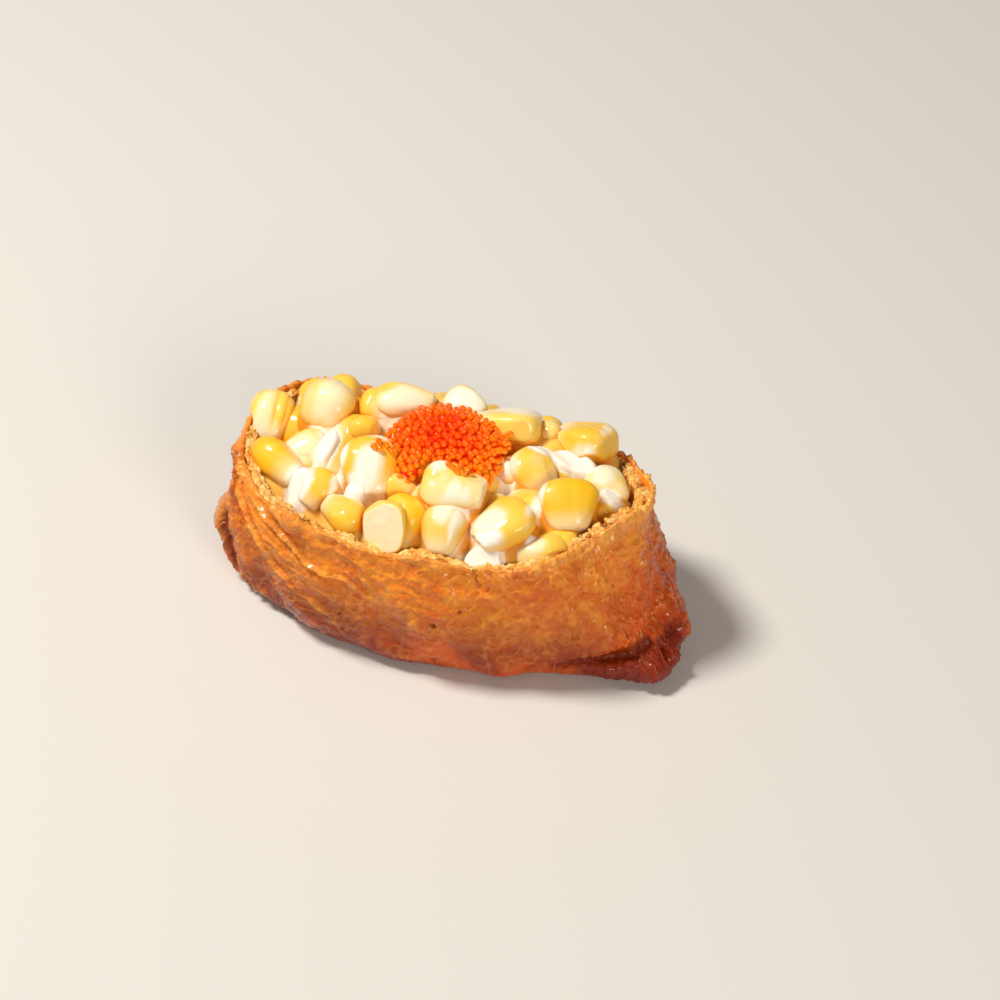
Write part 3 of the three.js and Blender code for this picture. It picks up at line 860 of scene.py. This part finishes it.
def add_kernel(bm, layers, subdivisions, index, kernel):
    place, turns, size, tone = kernel
    form = KernelForm(index, size)
    made = bmesh.ops.create_icosphere(bm, subdivisions=subdivisions, radius=1.0)["verts"]
    matrix = kernel_matrix(place, turns)
    for v in made:
        point, y, on_cut = form.point(v.co.normalized())
        v.co = matrix @ point
        v[layers[0]] = clamp01(tone + 0.14 * noise.noise(v.co / 3.0))
        v[layers[1]] = clamp01(0.7 * smooth(-0.05, -0.75, y) + on_cut)


def draw_in_disc(draw):
    """An angle and a share of the radius, drawn evenly over a disc."""
    return draw.uniform(0, 2 * pi), sqrt(draw.random())


def filler_kernels():
    """The kernels that show only in the gaps and along the back wall."""
    draw = random.Random(11)
    places = []
    while len(places) < FILLER_COUNT:
        angle, share = draw_in_disc(draw)
        x = HEAP_MIDDLE.x + MIDDLE.x + FILLER_HALF_X * share * cos(angle)
        y = FILLER_HALF_Y * share * sin(angle)
        if all(hypot(x - q[0], y - q[1]) > FILLER_SPACING for q in places):
            places.append((x, y, draw.uniform(*FILLER_LIFTS)))
    fillers = []
    for place in places + [(x, y, BACK_ROW_LIFT) for x, y in BACK_ROW]:
        turns = (draw.uniform(0, 360), draw.uniform(0, 30), draw.uniform(-40, 40))
        fillers.append((place, turns, FILLER_SIZE, draw.uniform(0.5, 1.0)))
    return fillers


FIRST_FILLER = 100  # the fillers' own forms are seeded from here


def all_kernels(bm, layers):
    for i, kernel in enumerate(KERNELS):
        add_kernel(bm, layers, KERNEL_DETAIL, i, kernel)
    for i, kernel in enumerate(filler_kernels()):
        add_kernel(bm, layers, FILLER_DETAIL, FIRST_FILLER + i, kernel)


LOOK_ASIDE = ((0, 0, 0), (0.8, 0, 0), (-0.8, 0, 0), (0, 0.8, 0), (0, -0.8, 0), (0, 0, 0.8))
LOOK_ROUND = [Vector(aside) for aside in LOOK_ASIDE]
LOOK_START = 0.12  # off the surface
CROWDED = 3.0  # kernels within this distance crowd a surface


def crowding(tree, v):
    """How much of the view from a kernel's surface its neighbours take up, 0 to 1."""
    start = v.co + v.normal * LOOK_START
    crowded = 0.0
    for aside in LOOK_ROUND:
        distance = tree.ray_cast(start, v.normal + aside, CROWDED)[3]
        if distance is not None:
            crowded += smooth(CROWDED, 0.0, distance)
    return crowded / len(LOOK_ROUND)


RIM_STEPS = 360
PRESS_INSET = 1.0  # how far inside the outer skin the kernels are kept
PRESS_ENDS, PRESS_FULL = 0.9, -0.1  # heights over the rim between which the pressing fades in


def rim_step(p):
    """The direction from the origin to a point, in steps."""
    return round(atan2(p.y, p.x) / (2 * pi) * RIM_STEPS) % RIM_STEPS


def press_line():
    """How far the kernels may reach at the rim in each direction, and the height there."""
    line = [None] * RIM_STEPS
    for column in fine_columns(6 * RIM_STEPS):
        p = column.wall(1.0, PRESS_INSET)
        line[rim_step(p)] = hypot(p.x, p.y), p.z
    return line


def press_inside(bm):
    """Kernels that lie against the wall are pressed flat on it, up to the rim."""
    line = press_line()
    for v in bm.verts:
        reach, top = line[rim_step(v.co)]
        away = hypot(v.co.x, v.co.y)
        if away > reach:
            share = lerp(1.0, reach / away, smooth(top + PRESS_ENDS, top + PRESS_FULL, v.co.z))
            v.co.x *= share
            v.co.y *= share


def corn_piece():
    """The kernels, and a tree that finds their surfaces."""
    bm = bmesh.new()
    layers = new_marks(bm, "tone", "pale")
    all_kernels(bm, layers)
    press_inside(bm)
    coat, glow = new_marks(bm, "coat", "glow")
    bm.normal_update()
    tree = BVHTree.FromBMesh(bm)
    for v in bm.verts:
        facing = v.normal.dot(CREAM_DIRECTION)
        patch = smooth(0.05, 0.45, ripple(v.co, 4.5, 61.0) + 0.3 * ripple(v.co, 1.6, 63.0))
        cling = max(0.9 * milk_at(v.co.x, v.co.y), 0.35 * patch * (1.0 - v[layers[0]]))
        v[coat] = clamp01(cling * smooth(-0.2, 0.7, facing))
        # Painted shade: deep orange where neighbouring kernels crowd a surface and on faces turned down,
        # in place of shade between and under the kernels.
        v[glow] = clamp01(1.6 * crowding(tree, v) + 0.6 * smooth(0.3, -0.6, v.normal.z))
    return bm, tree


# ---- The mayonnaise, a film over the heap

# Spots of mayonnaise: middle in plan, half widths along X and Y, and thickness, where 1 is a full coat.
MILK_SPOTS = [    (-19.0, 2.9, 2.5, 3.9, 0.6), (-18.0, -0.2, 2.0, 1.8, 0.9), (-17.2, -2.8, 1.6, 3.4, 1.4),
    (-13.1, -8.3, 0.8, 3.4, 1.1), (-9.8, -10.6, 2.1, 1.6, 1.4), (-17.6, -5.6, 1.0, 1.8, 0.8),
    (-18.8, -10.4, 2.0, 3.0, 1.9), (-8.9, -8.6, 1.9, 3.4, 1.0), (-6.3, -10.4, 0.7, 1.1, 0.9),
    (-29.1, 0.8, 1.3, 4.1, 0.5), (-20.8, -3.7, 2.1, 2.7, 0.55), (-9.0, 5.7, 3.8, 3.0, 0.75),
    (-0.6, 9.2, 3.6, 3.2, 0.95), (-8.6, -2.5, 2.7, 1.4, 0.9), (1.4, -6.3, 1.5, 1.4, 0.85),
    (4.8, -10.3, 1.2, 2.1, 0.9), (6.3, -11.9, 0.9, 3.4, 0.9), (11.1, -14.9, 3.6, 1.7, 1.45),
    (4.2, -12.0, 1.5, 1.8, 0.8), (10.6, -11.4, 2.2, 2.0, 0.85), (9.5, -1.2, 1.5, 3.2, 0.8),
    (13.4, 4.4, 2.6, 1.7, 1.7), (16.4, 4.9, 2.6, 1.9, 2.0), (19.4, 4.8, 2.6, 1.9, 2.0),
    (22.6, 3.4, 1.8, 1.8, 0.8), (23.0, 5.8, 1.9, 2.1, 0.6), (15.8, -6.3, 0.8, 3.4, 1.1),
    (25.0, 0.5, 2.1, 1.1, 1.6), (17.5, -11.7, 1.5, 1.4, 0.6), (7.6, 9.4, 3.4, 2.0, 0.85),
    (20.3, 12.2, 0.7, 2.7, 0.6), (-18.2, -12.3, 0.7, 2.5, 0.6),
]
SPOT_NONE, SPOT_FULL = 1.4, 0.6  # a spot fades between these shares of its half widths
FILM_AROUND = 440
FILM_ROWS = 84
FILM_INSET = SKIN - 0.3
FILM_EDGE_LEVEL = 0.8
FILM_SKIRT = ((0.02, FILM_INSET + 1.4), (0.4, FILM_INSET))  # rows below its edge: level and inset
FILM_SINK = 0.9  # how far the bare film lies under the smoothed kernels
FILM_RISE = 1.15  # how much higher it lies for a full coat
FILM_FILLET = 0.8  # how softly it runs from a pool up on a kernel
CLIMB_NONE, CLIMB_FULL = 0.90, 1.5  # between these thicknesses it climbs over the kernels
WALL_HALF_X, WALL_HALF_Y = 34.0, 18.0  # half widths of an oval that follows the wall
WALL_NEAR, WALL_AT = 0.78, 0.92  # where on it the bare film takes the tofu's colour
WALL_RISE = 0.5  # how much higher the mass lies along the wall
BARE_CROWN = -0.4  # the film's height over a bare kernel, which hides it
COATED_CROWN = 0.14  # and over a coated one
MAP_STEP = 0.4  # step of the height maps
MAP_HALF = (38.0, 21.0)  # and their half widths
CROWN_SPREAD, LEVEL_SPREAD = 0.7, 2.4  # how far the two height maps are smoothed
RAY_HEIGHT = 60.0


def milk_at(x, y):
    """How thick the mayonnaise is at a point of the plan, where 1 is a full coat."""
    jitter = 0.26 * ripple((x, y, 0.0), 2.8, 31.0) + 0.06 * ripple((x, y, 0.0), 1.0, 33.0)
    best = 0.0
    for middle_x, middle_y, half_x, half_y, thick in MILK_SPOTS:
        away = hypot((x - middle_x + MIDDLE.x) / half_x, (y - middle_y + MIDDLE.y) / half_y) + jitter
        best = max(best, thick * smooth(SPOT_NONE, SPOT_FULL, away))
    return best


def wall_share(x, y):
    """How far out towards the wall a point is."""
    return hypot(x / WALL_HALF_X, y / WALL_HALF_Y)


def heap_tops(tree):
    """The top of the heap over an even grid in plan: a kernel, or the mass between the kernels."""
    down = Vector((0.0, 0.0, -1.0))
    columns, rows = (round(2 * half / MAP_STEP) + 1 for half in MAP_HALF)

    def top(x, y):
        mass = heap_height(x, y) + WALL_RISE * clamp01(wall_share(x, y)) ** 6
        hit = tree.ray_cast(Vector((x, y, RAY_HEIGHT)), down)[0]
        return mass if hit is None else max(mass, hit.z)

    return [
        [top(i * MAP_STEP - MAP_HALF[0], j * MAP_STEP - MAP_HALF[1]) for j in range(rows)]
        for i in range(columns)
    ]


class HeightMap:
    """Heights over the plan, smoothed so that details under `spread` millimetres are gone."""

    def __init__(self, grid, spread):
        reach = ceil(2.2 * spread / MAP_STEP)
        steps = range(-reach, reach + 1)
        weights = [bell(k * MAP_STEP, spread) for k in steps]
        total = sum(weights)
        for axis in range(2):
            lines = [list(line) for line in zip(*grid)]
            grid = []
            for line in lines:
                padded = [line[0]] * reach + line + [line[-1]] * reach
                sums = (sum(map(lambda w, h: w * h, weights, padded[i:])) for i in range(len(line)))
                grid.append([value / total for value in sums])
        self.grid = grid

    def at(self, x, y):
        i = min(max((x + MAP_HALF[0]) / MAP_STEP, 0.0), len(self.grid) - 1.001)
        j = min(max((y + MAP_HALF[1]) / MAP_STEP, 0.0), len(self.grid[0]) - 1.001)
        column, next_column = self.grid[int(i)], self.grid[int(i) + 1]
        low = lerp(column[int(j)], next_column[int(j)], i % 1.0)
        high = lerp(column[int(j) + 1], next_column[int(j) + 1], i % 1.0)
        return lerp(low, high, j % 1.0)


def mayonnaise_piece(tree):
    """One sheet over the mass between the kernels, which reaches just into the tofu. Where it is bare it
    is painted deep amber, as shade in the gaps.
    """
    tops = heap_tops(tree)
    crowns, level = HeightMap(tops, CROWN_SPREAD), HeightMap(tops, LEVEL_SPREAD)
    columns = fine_columns(FILM_AROUND)
    edge = [column.wall(FILM_EDGE_LEVEL, FILM_INSET) for column in columns]
    edge_row = len(FILM_SKIRT) + 1

    def film_height(x, y):
        milk = milk_at(x, y)
        pool = level.at(x, y) - FILM_SINK + FILM_RISE * milk
        crown = crowns.at(x, y)
        bare = soft_limit(pool, crown + BARE_CROWN, FILM_FILLET)
        coated = -soft_limit(-pool, -crown - COATED_CROWN, FILM_FILLET)
        return lerp(bare, coated, smooth(CLIMB_NONE, CLIMB_FULL, milk))

    def place(index, row):
        if row == 0:
            return Vector((0.0, 0.0, FLOOR + 0.3))
        if row < edge_row:
            return columns[index].wall(*FILM_SKIRT[row - 1])
        share = 1.0 - (row - edge_row) / (FILM_ROWS - edge_row)
        x, y = edge[index].x * share, edge[index].y * share
        return Vector((x, y, film_height(x, y)))

    film = wrapped_grid(FILM_AROUND, FILM_ROWS, place)
    milk, thin, wall = new_marks(film, "milk", "thin", "wall")
    for v in film.verts:
        v[wall] = smooth(WALL_NEAR, WALL_AT, wall_share(v.co.x, v.co.y))
        v[milk] = smooth(0.05, 0.55, milk_at(v.co.x, v.co.y))
        v[thin] = 0.6 * smooth(0.4, 0.05, v.co.z - crowns.at(v.co.x, v.co.y))
    return film


# ---- The roe

ROE_MIDDLE = Vector((-0.3, 0.2, 0.0)) - MIDDLE
# How far the mound reaches, one value for each twelfth of a turn from +X.
ROE_REACH = [8.8, 9.2, 8.0, 8.4, 8.8, 8.6, 8.8, 6.8, 8.6, 5.0, 6.4, 9.8]
ROE_RIM_RISE = 2.2
ROE_THICKNESS = 2.6
CORE_SINK = 0.75  # how far the juice under the eggs lies below them
EGG_RADIUS = 0.49
EGG_SPACING = 0.86
EGG_TRIES = 6000
# A looser layer of eggs over the first.
UPPER_TRIES = 260
UPPER_REACH = 0.92
UPPER_LIFT = 0.62
ROE_EDGE = 9.0  # eggs turn amber towards this distance from the middle
# Eggs away from the mound: place in plan, and height over the heap's form.
STRAY_EGGS = [    (-8.8, -5.7, 6.1), (-8.5, -4.6, 6.0), (-7.8, -5.9, 6.0), (-7.3, -4.8, 5.7),
    (-6.4, -5.3, 5.4), (-6.0, -4.0, 5.0), (-7.0, -3.6, 5.3), (8.0, 3.2, 4.9),
    (8.4, 3.7, 5.0), (8.2, 1.9, 4.6), (8.1, 0.6, 4.3), (2.9, -6.6, 6.7),
    (3.6, -6.9, 6.7), (4.4, -7.3, 6.7), (5.2, -7.3, 6.6), (4.5, -6.3, 6.6),
    (5.5, -6.4, 6.5), (6.2, -6.9, 6.4),
]
# They slide along the camera's line of sight, which keeps their places in its view.
EGG_SLIDE = Vector((-0.26, 0.72, -0.65)).normalized()
EGG_SLIDE_LIMIT = 3.0
EGG_REST = 0.8  # from the kernel to a resting egg's middle, in radii
# Painted light: each egg is painted brighter on this side, as a crescent where light that enters from
# above leaves it.
EGG_GLOW = Vector((0.62, -0.50, -0.60))  # light that enters an egg from above leaves it on this side


def roe_reach(angle):
    at = (angle / (2 * pi)) % 1.0 * len(ROE_REACH)
    i = int(at) % len(ROE_REACH)
    return lerp(ROE_REACH[i], ROE_REACH[(i + 1) % len(ROE_REACH)], smooth(0, 1, at - int(at)))


def mound_point(share, angle, sink=0.0):
    reach = share * (roe_reach(angle) - sink)
    x = ROE_MIDDLE.x + reach * cos(angle)
    y = ROE_MIDDLE.y + reach * sin(angle)
    dome = (ROE_THICKNESS - sink) * sqrt(max(0.0, 1 - share ** 3))
    lumps = 0.5 * ripple((x, y, 0.0), 3.0, 37.0)
    return Vector((x, y, heap_height(x, y) + ROE_RIM_RISE + dome + lumps * (1 - share)))


def roe_core_piece():
    bm = bmesh.new()
    bmesh.ops.create_uvsphere(bm, u_segments=64, v_segments=24, radius=1.0)
    for v in bm.verts:
        angle = atan2(v.co.y, v.co.x)
        share = hypot(v.co.x, v.co.y)
        top = mound_point(share, angle, CORE_SINK)
        if v.co.z < 0:
            top.z = lerp(top.z, heap_height(top.x, top.y) + 0.3, smooth(0, -0.7, v.co.z))
        v.co = top
    bmesh.ops.recalc_face_normals(bm, faces=bm.faces)
    return bm


def settled(p, tree):
    """Where a loose egg comes to rest on a kernel, if one is near."""
    hit = tree.ray_cast(p, EGG_SLIDE, EGG_SLIDE_LIMIT)[0]
    return p if hit is None else hit - EGG_SLIDE * EGG_REST * EGG_RADIUS


def egg_places(tree):
    draw = random.Random(5)
    places = []
    for attempt in range(EGG_TRIES):
        angle, share = draw_in_disc(draw)
        p = mound_point(share, angle)
        p.z += draw.uniform(-0.1, 0.12)
        if all((p - q).length > EGG_SPACING for q in places):
            places.append(p)
    surface = len(places)
    for attempt in range(UPPER_TRIES):
        angle, share = draw_in_disc(draw)
        p = mound_point(share * UPPER_REACH, angle) + Vector((0, 0, UPPER_LIFT))
        if all((p - q).length > EGG_SPACING for q in places[surface:]):
            places.append(p)
    for x, y, lift in STRAY_EGGS:
        x, y = x - MIDDLE.x, y - MIDDLE.y
        places.append(settled(Vector((x, y, heap_height(x, y) + lift)), tree))
    return places


def roe_piece(tree):
    bm = bmesh.new()
    amber, glow = new_marks(bm, "amber", "glow")
    draw = random.Random(3)
    for p in egg_places(tree):
        radius = EGG_RADIUS * draw.uniform(0.92, 1.08)
        away = hypot(p.x - ROE_MIDDLE.x, p.y - ROE_MIDDLE.y) / ROE_EDGE
        outer = smooth(0.15, 0.95, away + 0.25 * ripple(p, 4.0, 65.0))
        tone = clamp01(draw.uniform(-0.1, 0.35) + 0.85 * outer)
        made = bmesh.ops.create_icosphere(bm, subdivisions=2, radius=radius)["verts"]
        turn = Matrix.Rotation(draw.uniform(0, 2 * pi), 3, "Z")
        for v in made:
            side = turn @ v.co
            v.co = side + p
            v[amber] = tone
            # Painted light: a brighter crescent on the side of each egg away from the key light.
            v[glow] = lerp(0.40, 0.9, tone) * smooth(-0.1, 0.85, side.normalized().dot(EGG_GLOW))
    return bm


# ---- The pieces in the scene

skin = put("tofu_skin", skin_piece(), fried_skin_material())
sponge = put("tofu_sponge", sponge_piece(), sponge_material())
corn_mesh, kernel_tree = corn_piece()
corn = put("corn_kernels", corn_mesh, kernel_material())
film = put("mayonnaise", mayonnaise_piece(kernel_tree), mayonnaise_material())
roe = put("roe_eggs", roe_piece(kernel_tree), roe_material())
roe_core = put("roe_core", roe_core_piece(), roe_core_material())

for first, second, node, slot in (
    (skin, sponge, "tofu_pocket", "fried_tofu"),
    (corn, film, "corn_salad", "sweetcorn"),
    (roe, roe_core, "fish_roe", "roe"),
):
    for piece in (first, second):
        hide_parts(node)

# ---- Floor, light and camera

FLOOR_SIZE = 3.0
LOOK_AT = Vector((0.0, 0.0, 0.015))
CAMERA_TURN = 20.0  # degrees round from the front
CAMERA_RISE = 40.3  # degrees over the table
CAMERA_DISTANCE = 0.49283
CAMERA_RIGHT = 0.00678
CAMERA_UP = 0.01320
LENS = 120.0
SENSOR_WIDTH = 36.0


def floor_piece():
    bm = bmesh.new()
    bmesh.ops.create_grid(bm, x_segments=1, y_segments=1, size=FLOOR_SIZE)
    material = bpy.data.materials.new("pale_floor")
    material.use_nodes = True
    shader = material.node_tree.nodes["Principled BSDF"]
    shader.inputs["Base Color"].default_value = (0.66, 0.64, 0.60, 1.0)
    shader.inputs["Roughness"].default_value = 0.7
    piece = placed("floor", bm, material)


def soft_light(name, position, size, power, colour):
    """A round area light that looks at the piece."""
    light = bpy.data.lights.new(name, "AREA")
    light.shape = "DISK"
    light.size = size
    light.energy = power
    light.color = colour
    lamp = linked(name, light)
    lamp.location = position
    lamp.rotation_euler = (LOOK_AT - Vector(position)).to_track_quat("-Z", "Y").to_euler()


def set_world(colour, strength):
    world = bpy.data.worlds.new("studio")
    world.use_nodes = True
    background = world.node_tree.nodes["Background"]
    background.inputs["Color"].default_value = (*colour, 1.0)
    background.inputs["Strength"].default_value = strength
    bpy.context.scene.world = world


def set_camera():
    azimuth, elevation = radians(CAMERA_TURN), radians(CAMERA_RISE)
    level = cos(elevation)
    back = Vector((sin(azimuth) * level, -cos(azimuth) * level, sin(elevation)))
    right = Vector((cos(azimuth), sin(azimuth), 0.0))
    up = back.cross(right)
    data = bpy.data.cameras.new("camera")
    data.lens = LENS
    data.sensor_width = SENSOR_WIDTH
    camera = linked("camera", data)
    camera.rotation_euler = Matrix((right, up, back)).transposed().to_euler()
    camera.location = back * CAMERA_DISTANCE + right * CAMERA_RIGHT + up * CAMERA_UP
    bpy.context.scene.camera = camera


floor_piece()
soft_light("key", (-0.33, -0.06, 0.60), size=0.16, power=4.9, colour=(1.0, 0.96, 0.90))
soft_light("fill", (0.46, -0.46, 0.34), size=0.25, power=2.2, colour=(1.0, 0.94, 0.87))
set_world(colour=(1.0, 0.97, 0.93), strength=0.18)
set_camera()
bpy.context.scene.view_settings.view_transform = "Standard"
